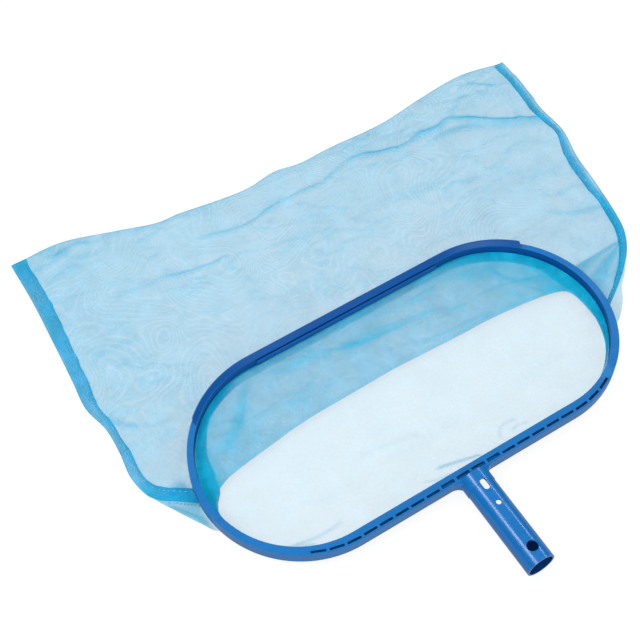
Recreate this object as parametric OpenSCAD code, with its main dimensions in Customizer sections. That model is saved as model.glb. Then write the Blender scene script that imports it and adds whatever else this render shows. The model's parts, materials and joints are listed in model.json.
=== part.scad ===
// Leaf skimmer net: a moulded mouth hoop with a pole socket, and a deep flat mesh bag.
// Origin: centre of the pole socket's open end.
// +Z up out of the mouth, +Y from the socket across the mouth and along the bag, +X to the right.
// Parts are drawn with y = 0 on the rail's slot line and z = 0 on the hoop's top face;
// place() moves them to the origin.

/* [Hoop] */
// Overall width of the hoop
hoop_w = 451; // [400:1:500]
// Y of the outer face of the socket-side rail
rail_y = -3.3; // [-4:0.1:-3]
// Outer corner radius on the socket side
corner_near = 105.1; // [95:0.1:110]
// Outer corner radius on the far side
corner_far = 112.4; // [100:0.1:116]
// Height of the hoop section
hoop_h = 13; // [11:0.5:15]
// Width of the two ends
rim_end = 7; // [6:0.1:9]
// Width of the far rail
rim_far = 5.4; // [5.4:0.1:7]
// Width of the slotted socket-side rail
rim_near = 11; // [10:0.1:13]

/* [Slots] */
// Pitch of the rail slots along the slot line
slot_pitch = 17.05; // [16:0.05:18]
// Length of a slot
slot_len = 14; // [12:0.5:14.5]
// Width of a slot
slot_w = 2.4; // [1.5:0.1:3]
// Width of the four slots over the socket
slot_w_mid = 3.6; // [2.5:0.1:4]

/* [Bag channel] */
// Inset of the channel from the outer face
chan_in = 1.4; // [1.4:0.1:1.6]
// Width of the channel
chan_w = 2.6; // [2.4:0.1:2.8]
// Thickness of the roof over the channel
chan_roof = 2.6; // [2:0.1:3.5]

/* [Leading lip and clamp bar] */
// Half length of the leading lip, measured in X
lip_half = 190; // [170:1:198]
// Height of the lip's outer edge above the hoop
lip_h = 5; // [3:0.5:8]
// Width of the lip's foot
lip_foot = 4.9; // [4:0.1:5]
// Width of the lip's upper edge
lip_edge = 1.2; // [1:0.1:2]
// Half length of the clamp bar, measured in X
bar_half = 105; // [80:1:110]
// Thickness of the clamp bar
bar_t = 1.9; // [1.5:0.1:3]
// Height of the clamp bar
bar_h = 6; // [4:0.5:9]
// Depth of the clamp bar's top below the hoop's top face
bar_depth = 3; // [1:0.5:4]

/* [Socket] */
// Outer radius of the pole socket
sock_r = 14.5; // [13.5:0.1:15.5]
// Bore radius of the pole socket
bore_r = 12.5; // [11.5:0.1:13]
// Distance of the socket's open end from the slot line
sock_end = 107; // [90:1:130]
// Depth of the socket's axis below the hoop's top face
sock_depth = 6.5; // [5:0.5:7]
// Radius of the latch hole near the open end
latch_r = 5.5; // [3:0.1:6]
// Distance of the latch hole from the slot line
latch_y = 91.6; // [80:0.1:95]
// Radius of the small round hole
pin_r = 2.6; // [2:0.1:3]
// Distance of the small round hole from the slot line
pin_y = 41.1; // [38:0.1:46]
// Radius of the long hole's ends
long_r = 3; // [2.5:0.1:3.5]
// Distance of the long hole's middle from the slot line
long_y = 19.6; // [19:0.1:22]

/* [Bag] */
// Left edge of the bag
bag_left = -262; // [-275:1:-250]
// Right edge of the bag
bag_right = 326; // [300:1:340]
// Far edge of the bag
bag_far = 436; // [410:1:450]
// Width of the sewn side seams
seam_w = 9; // [7:0.5:12]
// Thickness of the mesh panels
mesh_t = 1; // [0.8:0.1:1.2]
// Y of the fold of slack mesh inside the mouth
slack_y = 118; // [110:1:150]
// Y of the first bend line, just past the far rail
bend_1 = 230; // [226:1:240]
// Y of the second bend line
bend_2 = 332; // [320:1:345]
// Half of the gap left at each bend line
bend_gap = 3; // [2.5:0.1:4]

/* [Hidden] */
$fn = 96;

hoop_color = [0.09, 0.40, 0.74];
trim_color = [0.08, 0.30, 0.64];
mesh_color = [0.45, 0.74, 0.88, 0.6];
seam_color = [0.10, 0.62, 0.85];
spline_color = [0.05, 0.08, 0.30];

overcut = 1;                            // how far cutters run past a face
half_w = hoop_w / 2;
end_y = rail_y + corner_near;           // widest line, where near and far arcs meet
far_x = half_w - corner_far;            // far corner centres, at y = end_y

// Spline and hem in the channel
spline_z = -7.4;
spline_h = 2.6;
hem_z = -14.2;
hem_h = 6.7;

// Bag layers, by the height of their undersides
lower_z = -(sock_depth + sock_r);       // level with the socket's underside
upper_z = lower_z + 3.4;
slack_z = lower_z + 5.9;
bag_h = upper_z + mesh_t - lower_z;     // full thickness of the flat bag

// Bag panels in plan
seam_gap = 0.1;                         // between a panel and its seam
panel_left = bag_left + seam_w + seam_gap;
panel_right = bag_right - seam_w - seam_gap;
panel_w = panel_right - panel_left;
seam_right = bag_right - seam_w;
throat_far = bend_1 - bend_gap;
mid_near = bend_1 + bend_gap;
mid_far = bend_2 - bend_gap;
tail_near = bend_2 + bend_gap;

// Moves from the slot line to the socket's open end
module place() { translate([0, sock_end, sock_depth]) children(); }

module layer(z, height) { translate([0, 0, z]) linear_extrude(height) children(); }

// Rectangle centred on x = 0
module centred_rect(half_width, y, depth) {
    translate([-half_width, y]) square([2 * half_width, depth]);
}

// Filled mouth outline, with separate insets at the ends, the socket-side rail and the far rail
module outline(end_inset, near_inset, far_inset) {
    near_r = corner_near - near_inset;
    near_x = half_w - end_inset - near_r;
    far_r = corner_far - end_inset;
    shift = end_inset - far_inset;      // moves the far arcs to give the far rail its own inset
    union() {
        intersection() {
            union() {
                for (side = [-1, 1]) translate([side * near_x, end_y]) circle(near_r);
                centred_rect(near_x, end_y - near_r, near_r + 1);
            }
            centred_rect(half_w + 1, rail_y - 1, end_y - rail_y + 1);
        }
        intersection() {
            union() {
                for (side = [-1, 1]) translate([side * far_x, end_y + shift]) circle(far_r);
                centred_rect(far_x, end_y - 1, far_r + 1 + shift);
                centred_rect(half_w - end_inset, end_y - 1, 1 + shift);
            }
            centred_rect(half_w + 1, end_y, corner_far + 2);
        }
    }
}

module even_outline(inset) { outline(inset, inset, inset); }

// Ring between two even insets
module band(outer, inner) {
    difference() {
        even_outline(outer);
        even_outline(inner);
    }
}

// Ring of the bag channel, narrowed by a clearance on each side
module channel_band(clearance) {
    band(chan_in + clearance, chan_in + chan_w - clearance);
}

// Puts a child at a distance along the slot line from the middle of the rail
module on_slot_line(distance) {
    straight = half_w - corner_near;
    arc_r = end_y;                      // the slot line is y = 0, the arc centres are at end_y
    side = sign(distance);
    if (abs(distance) <= straight) translate([distance, 0, 0]) children();
    else {
        angle = (abs(distance) - straight) * 180 / (PI * arc_r) * side;
        translate([side * straight, end_y, 0])
            rotate([0, 0, angle])
                translate([0, -arc_r, 0]) children();
    }
}

module frame_hoop() {
    slots_per_side = 10;
    wide_per_side = 2;
    wide_slot_y = -0.9;                 // near edge of the wide slots
    chan_floor = 1.6;
    mouth_inset = 0.5;
    mouth_cut = 3;
    color(hoop_color) place() difference() {
        layer(-hoop_h, hoop_h) difference() {
            even_outline(0);
            outline(rim_end, rim_near, rim_far);
        }
        // channel for the bag's hem, with a narrower mouth underneath
        layer(-hoop_h + chan_floor, hoop_h - chan_floor - chan_roof) channel_band(0);
        layer(-hoop_h - overcut, mouth_cut) channel_band(mouth_inset);
        // rail slots, open to the channel
        for (i = [0:slots_per_side - 1], side = [-1, 1])
            on_slot_line(side * (i + 0.5) * slot_pitch) {
                wide = i < wide_per_side;
                width = wide ? slot_w_mid : slot_w;
                near_edge = wide ? wide_slot_y : -width / 2;
                translate([-slot_len / 2, near_edge, -chan_roof - overcut])
                    cube([slot_len, width, chan_roof + 2 * overcut]);
            }
    }
}

// Cylinder on the socket's axis, running from start_y toward the open end
module socket_cylinder(radius, start_y, length) {
    translate([0, start_y, -sock_depth]) rotate([90, 0, 0]) cylinder(r = radius, h = length);
}

module pole_socket() {
    collar_extra = 0.6;
    collar_len = 13.7;
    root_wall = 2;
    web_half = 23;                      // half width at the rail
    web_tip = 12;                       // half width at the outer end
    web_len = 6.5;
    web_drop = 0.6;                     // below the hoop's top face
    web_steps = 8;
    web_power = 2.4;
    hole_cut = 40;
    long_half = 3;                      // half the long hole's straight part
    window_x = -9.5;
    window_w = 22;
    window_y = -42;
    window_cut = 30;

    function web_point(side, i) = [
        side * (web_half - (web_half - web_tip) * i / web_steps),
        rail_y - web_len * pow(i / web_steps, web_power)
    ];
    module top_hole(radius, y) {
        translate([0, y, -sock_depth]) cylinder(r = radius, h = hole_cut, $fn = 48);
    }

    color(hoop_color) place() difference() {
        union() {
            socket_cylinder(sock_r, rail_y, sock_end + rail_y);
            // root collar and the web that spreads onto the rail
            socket_cylinder(sock_r + collar_extra, rail_y, collar_len);
            layer(-hoop_h, hoop_h - web_drop) polygon(concat(
                [for (i = [0:web_steps]) web_point(-1, i)],
                [for (i = [web_steps:-1:0]) web_point(1, i)]));
        }
        // pole bore, closed by a wall at the root
        socket_cylinder(bore_r, rail_y - root_wall, sock_end);
        // latch hole through both walls
        translate([0, -latch_y, -hole_cut]) cylinder(r = latch_r, h = 2 * hole_cut, $fn = 48);
        // small round hole and long hole, in the top wall
        top_hole(pin_r, -pin_y);
        for (offset_y = [-long_half, long_half]) top_hole(long_r, -long_y + offset_y);
        translate([-long_r, -long_y - long_half, -sock_depth])
            cube([2 * long_r, 2 * long_half, hole_cut]);
        // drain window underneath
        translate([window_x, window_y, -sock_depth - window_cut])
            cube([window_w, rail_y - root_wall - window_y, window_cut]);
    }
}

// Lip on the far rail, its inner face sloping outward as it rises
module leading_lip() {
    inset = 0.3;
    margin = 0.5;                       // how far the slope cutters run past the lip
    slope = (lip_foot - lip_edge) / lip_h;
    outer_r = corner_far - inset;
    low_r = outer_r - lip_foot - margin * slope;
    high_r = outer_r - lip_edge + margin * slope;
    color(trim_color) place() difference() {
        layer(0, lip_h) intersection() {
            band(inset, inset + lip_foot);
            centred_rect(lip_half, end_y + 40, 150);
        }
        // slope round the corners, then along the straight
        for (side = [-1, 1])
            translate([side * far_x, end_y, -margin])
                cylinder(r1 = low_r, r2 = high_r, h = lip_h + 2 * margin);
        translate([-far_x, end_y, 0]) rotate([90, 0, 90]) linear_extrude(2 * far_x)
            polygon([[0, -margin], [low_r, -margin],
                     [high_r, lip_h + margin], [0, lip_h + margin]]);
    }
}

// Bar against the inner face of the far rail
module clamp_bar() {
    gap = 0.05;
    color(trim_color) place() layer(-bar_depth - bar_h, bar_h) intersection() {
        difference() {
            outline(rim_end + gap, rim_near + gap, rim_far + gap);
            outline(rim_end + bar_t, rim_near + bar_t, rim_far + bar_t);
        }
        centred_rect(bar_half, end_y + 60, 80);
    }
}

module retaining_spline() {
    color(spline_color) place() layer(spline_z, spline_h) channel_band(0.2);
}

module mouth_hem() {
    color(seam_color) place() layer(hem_z, hem_h) channel_band(0.8);
}

module throat_lower_mesh() {
    inset = 2.4;
    upstand_t = 1.2;
    near_y = -50;                       // clear of the hoop on the socket side
    overlap = 0.02;                     // joins the upstand to the panel
    upstand_z = lower_z + mesh_t - overlap;
    upstand_top = hem_z - 0.05;
    color(mesh_color) place() union() {
        // panel under and around the mouth
        layer(lower_z, mesh_t) intersection() {
            union() {
                even_outline(inset);
                polygon([[-219, 84], [panel_left, 160], [panel_left, throat_far],
                         [panel_right, throat_far], [panel_right, 165], [219, 72]]);
            }
            centred_rect(400, near_y, throat_far - near_y);
        }
        // upstand to the hem, round the socket half of the mouth
        layer(upstand_z, upstand_top - upstand_z) intersection() {
            band(inset, inset + upstand_t);
            centred_rect(300, near_y, end_y - 6 - near_y);
        }
    }
}

module throat_slack_mesh() {
    left = -184;
    width = 382;
    fold_t = 1.6;
    slack_t = 0.8;
    color(mesh_color) place() union() {
        // layer that comes back out under the far rail
        layer(upper_z, mesh_t)
            polygon([[-186, slack_y], [-221, 112], [panel_left, 172], [panel_left, throat_far],
                     [panel_right, throat_far], [panel_right, 178], [234, 112], [200, slack_y]]);
        // fold, then the layer that hangs from the far rail
        layer(upper_z, slack_z + slack_t - upper_z)
            translate([left, slack_y]) square([width, fold_t]);
        layer(slack_z, slack_t) intersection() {
            even_outline(3.4);
            translate([left, slack_y]) square([width, 200]);
        }
    }
}

module mid_panel(z) {
    color(mesh_color) place() layer(z, mesh_t)
        translate([panel_left, mid_near]) square([panel_w, mid_far - mid_near]);
}

module mid_lower_mesh() { mid_panel(lower_z); }
module mid_upper_mesh() { mid_panel(upper_z); }

// Two layers joined by a wall at the bag's far edge
module tail_mesh() {
    far_wall = 1;
    length = bag_far - tail_near;
    color(mesh_color) place() translate([panel_left, tail_near, lower_z]) difference() {
        cube([panel_w, length, bag_h]);
        translate([-overcut, -overcut, mesh_t])
            cube([panel_w + 2 * overcut, length - far_wall + overcut, bag_h - 2 * mesh_t]);
    }
}

module side_seam(x, near_y, far_y) {
    color(seam_color) place() translate([x, near_y, lower_z]) cube([seam_w, far_y - near_y, bag_h]);
}

module throat_seam_left() { side_seam(bag_left, 166, throat_far); }
module throat_seam_right() { side_seam(seam_right, 174, throat_far); }
module mid_seam_left() { side_seam(bag_left, mid_near, mid_far); }
module mid_seam_right() { side_seam(seam_right, mid_near, mid_far); }
module tail_seam_left() { side_seam(bag_left, tail_near, bag_far); }
module tail_seam_right() { side_seam(seam_right, tail_near, bag_far); }

frame_hoop();
pole_socket();
leading_lip();
clamp_bar();
retaining_spline();
mouth_hem();
throat_lower_mesh();
throat_slack_mesh();
throat_seam_left();
throat_seam_right();
mid_lower_mesh();
mid_upper_mesh();
mid_seam_left();
mid_seam_right();
tail_mesh();
tail_seam_left();
tail_seam_right();
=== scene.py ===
# A pole net: a flat moulded hoop with a pole socket, and a see-through mesh bag sewn from an under
# sheet and an upper sheet. The hoop lies level with X across it. The socket is on its -Y side, and
# the bag spreads over the floor towards +Y. "Left" is -X, "near" is -Y and "far" is +Y.
import json
import math
from collections import namedtuple

import bmesh
import bpy
import numpy as np
from mathutils import Matrix, Vector

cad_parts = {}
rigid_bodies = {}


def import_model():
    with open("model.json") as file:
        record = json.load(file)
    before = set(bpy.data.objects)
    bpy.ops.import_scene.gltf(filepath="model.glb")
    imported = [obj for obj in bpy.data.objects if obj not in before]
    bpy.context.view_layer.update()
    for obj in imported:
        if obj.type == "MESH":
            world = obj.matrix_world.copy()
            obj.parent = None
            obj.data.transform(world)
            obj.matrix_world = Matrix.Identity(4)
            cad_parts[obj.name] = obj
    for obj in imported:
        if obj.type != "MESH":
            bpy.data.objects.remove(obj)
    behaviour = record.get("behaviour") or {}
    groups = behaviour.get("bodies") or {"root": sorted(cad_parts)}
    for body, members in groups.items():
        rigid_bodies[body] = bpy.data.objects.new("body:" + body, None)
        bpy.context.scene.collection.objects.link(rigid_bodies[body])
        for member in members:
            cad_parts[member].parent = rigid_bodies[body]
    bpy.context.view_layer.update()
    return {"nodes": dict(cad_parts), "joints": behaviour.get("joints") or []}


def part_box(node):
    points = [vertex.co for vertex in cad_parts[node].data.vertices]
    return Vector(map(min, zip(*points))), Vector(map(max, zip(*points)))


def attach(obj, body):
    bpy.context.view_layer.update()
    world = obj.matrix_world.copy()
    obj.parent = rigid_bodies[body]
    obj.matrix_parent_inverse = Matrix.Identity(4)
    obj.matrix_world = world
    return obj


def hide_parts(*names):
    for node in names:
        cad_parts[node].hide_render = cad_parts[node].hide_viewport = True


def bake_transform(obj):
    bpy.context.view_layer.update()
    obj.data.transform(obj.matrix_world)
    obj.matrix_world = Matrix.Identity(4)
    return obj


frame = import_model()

# ------------------------------------------------------------------ layout
# The bag is laid out in millimetres. x = 0 is the middle of the hoop, y = 0 lies just inside
# the outer face of its socket-side rail, and z = 0 is its top face.
HOOP_LO, HOOP_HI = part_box("frame_hoop")
FLOOR = min(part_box(name)[0].z for name in frame["nodes"])
JOINT = {joint["name"]: Vector(joint["pos_m"]) for joint in frame["joints"]}
SWING, CURL = JOINT["bag_swing"], JOINT["bag_curl"]

ORIGIN_Y, ORIGIN_Z = HOOP_LO.y + 0.0033, HOOP_HI.z      # metres
HOOP_HALF = HOOP_HI.x * 1000
END_Y = 101.8                     # the hoop is widest here
R_NEAR, R_FAR = 105.1, 112.4      # outer radii of the hoop's ends, near and far of END_Y
RIM_END, RIM_NEAR, RIM_FAR = 7.0, 11.0, 5.4     # hoop widths at the ends, near rail and far rail
FLOOR_Z = (FLOOR - ORIGIN_Z) * 1000
CUT_Y = (SWING.y + CURL.y) / 2 * 1000 - ORIGIN_Y * 1000     # front and rear cloth meet here

UNDER_Z = FLOOR_Z + 0.5           # the under sheet
UPPER_Z = FLOOR_Z + 4.6           # the upper sheet
SEAM_Z = UNDER_Z + 2.6            # middle of the sewn seams
UNDER_HOOP_Z = -15.2              # cloth that passes under the hoop stays below this
SEAM_LAP = 2.2                    # the sheets stop this far inside the bag's side edges
INSET = 4.2                       # the under sheet leaves the hoop this far inside its outer face


def world(points):
    """Layout millimetres to metres in the frame."""
    return np.asarray(points, float) / 1000 + (0.0, ORIGIN_Y, ORIGIN_Z)


# ------------------------------------------------------------------ noise and curves
def lattice(column, row, seed):
    """Repeatable value from -1 to 1 for a grid point."""
    bits = column.astype(np.int64) * 374761393 + row.astype(np.int64) * 668265263
    bits = (bits + seed * 1442695041) & 0xFFFFFFFF
    bits = (bits ^ (bits >> 13)) * 1274126177 & 0xFFFFFFFF
    return ((bits ^ (bits >> 16)) & 0xFFFF) / 65535.0 * 2 - 1


def fade(t):
    return t**3 * (t * (t * 6 - 15) + 10)


def noise(x, y, size, seed):
    """Smooth noise on a grid with cells of the given size."""
    x, y = np.asarray(x, float) / size, np.asarray(y, float) / size
    column, row = np.floor(x).astype(int), np.floor(y).astype(int)
    across, up = fade(x - column), fade(y - row)
    low, low_next = lattice(column, row, seed), lattice(column + 1, row, seed)
    high, high_next = lattice(column, row + 1, seed), lattice(column + 1, row + 1, seed)
    return ((low + (low_next - low) * across) * (1 - up)
            + (high + (high_next - high) * across) * up)


def layered(x, y, size, seed, octaves=3):
    """Sum of noises, each half the size and strength of the one before."""
    return sum(noise(x, y, size / 2**k, seed + 17 * k) * 0.5**k for k in range(octaves)) / 1.75


def ridges(x, y, size, seed, octaves, slope, power):
    """Thin crests along the zero lines of layered noise."""
    return np.clip(1 - np.abs(layered(x, y, size, seed, octaves)) * slope, 0, 1) ** power


def smooth(start, end, value):
    """0 at start, 1 at end, with soft ends; start may be the larger."""
    t = np.clip((np.asarray(value, float) - start) / (end - start), 0, 1)
    return t * t * (3 - 2 * t)


def decay(distance, length, limit=100):
    """Exponential falloff, 1 up to distance 0 and constant past the limit."""
    return np.exp(-np.clip(distance, 0, limit) / length)


def lengths_along(line):
    return np.r_[0, np.cumsum(np.linalg.norm(np.diff(line, axis=0), axis=1))]


def curve(points, count):
    """Smooth line through the points, as evenly spaced points."""
    given = np.asarray(points, float)
    padded = np.vstack([2 * given[0] - given[1], given, 2 * given[-1] - given[-2]])
    t = np.linspace(0, 1, 24, endpoint=False)[:, None]
    spans = []
    for before, start, end, after in zip(padded, padded[1:], padded[2:], padded[3:]):
        spans.append(0.5 * (2 * start + (end - before) * t
                            + (2 * before - 5 * start + 4 * end - after) * t**2
                            + (3 * start - before - 3 * end + after) * t**3))
    line = np.vstack(spans + [given[-1][None]])
    along = lengths_along(line)
    wanted = np.linspace(0, along[-1], count)
    return np.stack([np.interp(wanted, along, line[:, axis]) for axis in range(2)], -1)


def near_line(x, y, points):
    """Distance to a smooth line, and the share of the way along it."""
    line = curve(points, 60)
    best, along = np.full(np.shape(x), 1e9), np.zeros(np.shape(x))
    share = np.linspace(0, 1, len(line))
    for i in range(len(line) - 1):
        start, step = line[i], line[i + 1] - line[i]
        t = ((x - start[0]) * step[0] + (y - start[1]) * step[1]) / (step @ step)
        t = np.clip(t, 0, 1)
        distance = np.hypot(x - start[0] - t * step[0], y - start[1] - t * step[1])
        closer = distance < best
        best = np.where(closer, distance, best)
        along = np.where(closer, share[i] + (share[i + 1] - share[i]) * t, along)
    return best, along


# ------------------------------------------------------------------ outline of the flat bag
# (x, y) along each edge, the sides from near to far and the far edge from left to right
LEFT_POINTS = [
    (-221, 72), (-234, 95), (-247, 117), (-259, 142), (-264, 169), (-261, 199), (-260, 228),
    (-266, 258), (-263, 290), (-260, 323), (-257, 359), (-254, 399), (-253, 447)]
RIGHT_POINTS = [
    (214, 52), (232, 65), (248, 80), (259, 95), (276, 110), (301, 139), (311, 176), (316, 213),
    (321, 250), (331, 288), (330, 325), (334, 363), (334, 403)]
FAR_POINTS = [
    LEFT_POINTS[-1], (-198, 447), (-141, 429), (-102, 416), (-76, 414), (-32, 407), (3, 404),
    (36, 408), (67, 403), (105, 404), (150, 402), (181, 403), (226, 409), (282, 413),
    RIGHT_POINTS[-1]]
LEFT_EDGE, RIGHT_EDGE, FAR_EDGE = (curve(points, 400)
                                   for points in (LEFT_POINTS, RIGHT_POINTS, FAR_POINTS))


def far_y(x):
    return np.interp(x, FAR_EDGE[:, 0], FAR_EDGE[:, 1])


def left_x(y):
    return np.interp(y, LEFT_EDGE[:, 1], LEFT_EDGE[:, 0])


def right_x(y):
    return np.interp(y, RIGHT_EDGE[:, 1], RIGHT_EDGE[:, 0])


def cloth_sides(y):
    """Left and right edge of the sheets at y."""
    return left_x(y) + SEAM_LAP, right_x(y) - SEAM_LAP


# ------------------------------------------------------------------ outline of the hoop
def hoop_half_width(y, inset):
    """Half width of the mouth outline at y, inset from the hoop's outer face."""
    y = np.asarray(y, float)
    squared = (y - END_Y) ** 2
    near = HOOP_HALF - R_NEAR + np.sqrt(np.maximum((R_NEAR - inset) ** 2 - squared, 0))
    far = HOOP_HALF - R_FAR + np.sqrt(np.maximum((R_FAR - inset) ** 2 - squared, 0))
    return np.where(y < END_Y, near, far)


def hoop_gap(x, y):
    """Distance from the hoop's outer face, positive outside."""
    x, y = np.asarray(x, float), np.asarray(y, float)
    radius = np.where(y < END_Y, R_NEAR, R_FAR)
    centre_x = HOOP_HALF - radius
    return np.hypot(x - np.clip(x, -centre_x, centre_x), y - END_Y) - radius


def rim_line(end_inset, near_inset, far_inset, density=1.0):
    """Closed outline inset from the hoop's outer face by three amounts: at the ends, the near
    rail and the far rail. Its point count depends only on the density."""
    near_r, far_r = R_NEAR - near_inset, R_FAR - end_inset
    near_x, far_x = HOOP_HALF - end_inset - near_r, HOOP_HALF - R_FAR
    far_reach = far_r + end_inset - far_inset
    rail_steps, corner_steps = int(150 * density), int(110 * density)

    def rail(start_x, stop_x, y):
        x = np.linspace(start_x, stop_x, rail_steps, endpoint=False)
        return np.stack([x, np.full(rail_steps, y)], -1)

    def corner(centre_x, radius, reach, start):
        angle = np.radians(np.linspace(start, start + 90, corner_steps, endpoint=False))
        return np.stack([centre_x + radius * np.cos(angle), END_Y + reach * np.sin(angle)], -1)

    return np.vstack([
        rail(-near_x, near_x, END_Y - near_r),
        corner(near_x, near_r, near_r, -90),
        corner(far_x, far_r, far_reach, 0),
        rail(far_x, -far_x, END_Y + far_reach),
        corner(-far_x, far_r, far_reach, 90),
        corner(-near_x, near_r, near_r, 180)])


def inner_wall(gap, density=1.0):
    """Outline at a gap inside the hoop's inner wall."""
    return rim_line(RIM_END + gap, RIM_NEAR + gap, RIM_FAR + gap, density)


# ------------------------------------------------------------------ creases
# each: (line of (x, y), height mm, half width mm, extra layers)
UPPER_CREASES = [
    ([(325, 307), (297, 321), (269, 337), (233, 362), (215, 359), (193, 361), (165, 359),
      (134, 367), (111, 374), (87, 368)], 4.0, 4.4, 1.7),
    ([(332, 304), (300, 314), (270, 329), (240, 345), (214, 348), (190, 350)], 2.4, 5.5, 1.2),
    ([(330, 312), (306, 318), (282, 330), (258, 348), (240, 360)], 2.4, 4.0, 1.2),
    ([(111, 374), (87, 368), (69, 363), (42, 365), (5, 364), (-28, 359), (-65, 368),
      (-90, 376)], 2.6, 3.6, 1.0),
    ([(-138, 346), (-115, 341), (-95, 337), (-78, 335), (-57, 337)], 2.8, 3.2, 0.9),
    ([(-190, 352), (-165, 350), (-138, 346), (-120, 352)], 1.6, 5.0, 0.4),
    ([(-217, 283), (-201, 269), (-182, 262)], 1.8, 2.6, 0.7),
    ([(-213, 263), (-201, 249), (-181, 240)], 1.8, 3.2, 0.5),
    ([(-256, 237), (-245, 224), (-230, 211)], 4.5, 4.2, 1.6),
    ([(-232, 213), (-214, 206), (-200, 204)], 2.0, 3.0, 0.6),
    ([(247, 210), (267, 194), (296, 185), (309, 178)], 3.4, 3.6, 1.1),
    ([(252, 232), (270, 221), (292, 221), (306, 214)], 2.2, 3.4, 0.6),
    ([(263, 395), (285, 388), (305, 372)], 2.2, 3.2, 0.7),
    ([(234, 363), (256, 379), (273, 380)], 1.6, 3.4, 0.5),
    ([(-238, 181), (-218, 188), (-201, 209)], 1.6, 4.0, 0.2),
    ([(-250, 290), (-215, 300), (-180, 296)], 1.5, 5.0, 0.25),
    ([(296, 300), (270, 290), (240, 296)], 1.5, 5.0, 0.15),
    ([(300, 250), (270, 246), (235, 254)], 1.6, 5.0, 0.2),
    ([(-240, 400), (-215, 408), (-190, 404)], 2.0, 5.0, 0.6),
    ([(-245, 425), (-220, 424), (-195, 432)], 2.0, 4.5, 0.8),
    ([(-226, 436), (-206, 428), (-188, 433), (-170, 424)], 1.8, 4.0, 0.8),
    ([(60, 300), (110, 306), (150, 296), (190, 300)], 1.4, 7.0, 0.3),
    ([(-30, 300), (0, 312), (40, 316)], 1.4, 8.0, 0.25),
]
SLACK_CREASES = [
    ([(-66, 204), (-46, 189), (-23, 180), (3, 175), (30, 172), (47, 170)], 0.9, 2.6, 1.7),
    ([(-34, 186), (-8, 179), (22, 178), (50, 172), (84, 168)], 0.9, 6.5, 1.3),
    ([(31, 150), (56, 143), (79, 141), (102, 140), (129, 138)], 0.8, 2.6, 0.8),
    ([(63, 173), (92, 162), (110, 153)], 0.7, 4.0, 0.6),
    ([(-168, 184), (-182, 173), (-196, 164)], 0.9, 2.6, 1.9),
    ([(-119, 202), (-133, 187), (-150, 168), (-170, 151), (-187, 144)], 1.1, 6.6, 1.5),
    ([(-127, 190), (-143, 171), (-158, 155), (-176, 142)], 0.5, 2.2, 0.8),
    ([(-109, 196), (-85, 190), (-60, 188), (-32, 178)], 0.8, 5.0, 1.0),
    ([(152, 188), (154, 174), (161, 160), (175, 148), (190, 142), (199, 141)], 0.9, 3.2, 1.5),
    ([(178, 164), (192, 154), (200, 138), (207, 122)], 0.8, 3.6, 1.5),
    ([(170, 152), (184, 146), (202, 147)], 0.7, 3.4, 1.1),
    ([(118, 190), (138, 178), (154, 172)], 0.7, 5.5, 0.9),
    ([(-150, 150), (-120, 158), (-90, 156), (-60, 162)], 0.8, 7.0, 0.35),
    ([(-110, 150), (-70, 152), (-30, 156)], 0.7, 5.0, 0.2),
    ([(90, 196), (130, 186), (160, 176)], 0.8, 5.0, 0.6),
    ([(20, 196), (60, 188), (100, 192)], 0.8, 6.0, 0.6),
]
UNDER_CREASES = [
    ([(-22, 27), (-8, 24), (8, 20), (28, 15)], 1.8, 1.7, 2.2),
    ([(-40, 22), (-24, 16), (-6, 13)], 1.2, 1.5, 0.7),
    ([(50, 18), (54, 27), (64, 31), (78, 28)], 1.6, 1.5, 0.8),
    ([(62, 20), (72, 23), (84, 20)], 1.2, 1.4, 0.8),
    ([(-178, 33), (-160, 29), (-140, 27), (-120, 29)], 1.6, 1.7, 0.9),
    ([(-196, 44), (-184, 36), (-170, 29), (-152, 22)], 1.6, 2.2, 1.2),
    ([(-60, 62), (-20, 56), (30, 60)], 1.2, 7.0, 0.12),
    ([(-78, 74), (-40, 70), (-8, 64)], 1.4, 5.0, 0.2),
    ([(90, 50), (130, 62), (165, 60)], 0.9, 7.0, 0.08),
    ([(-150, 66), (-120, 52), (-90, 54)], 0.9, 7.0, 0.08),
    ([(-248, 139), (-232, 122), (-222, 100)], 2.0, 3.2, 0.9),
    ([(-252, 128), (-238, 108), (-226, 88)], 1.4, 2.6, 0.5),
    ([(-256, 140), (-244, 118), (-232, 100)], 1.4, 2.4, 0.4),
]


def creased(x, y, creases):
    """Height and extra layers that the creases add."""
    height, cover = np.zeros(np.shape(x)), np.zeros(np.shape(x))
    for k, (line, rise, width, layers) in enumerate(creases):
        distance, along = near_line(x, y, line)
        distance = np.abs(distance + 0.22 * width * noise(x, y, 18, 900 + k))
        ends = smooth(0, 0.16, along) * smooth(0, 0.16, 1 - along)
        height = height + rise * np.exp(-((distance / width) ** 2)) * ends
        cover = cover + layers * np.exp(-((distance / (width * 0.75)) ** 2)) * ends
    return height, cover


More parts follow.
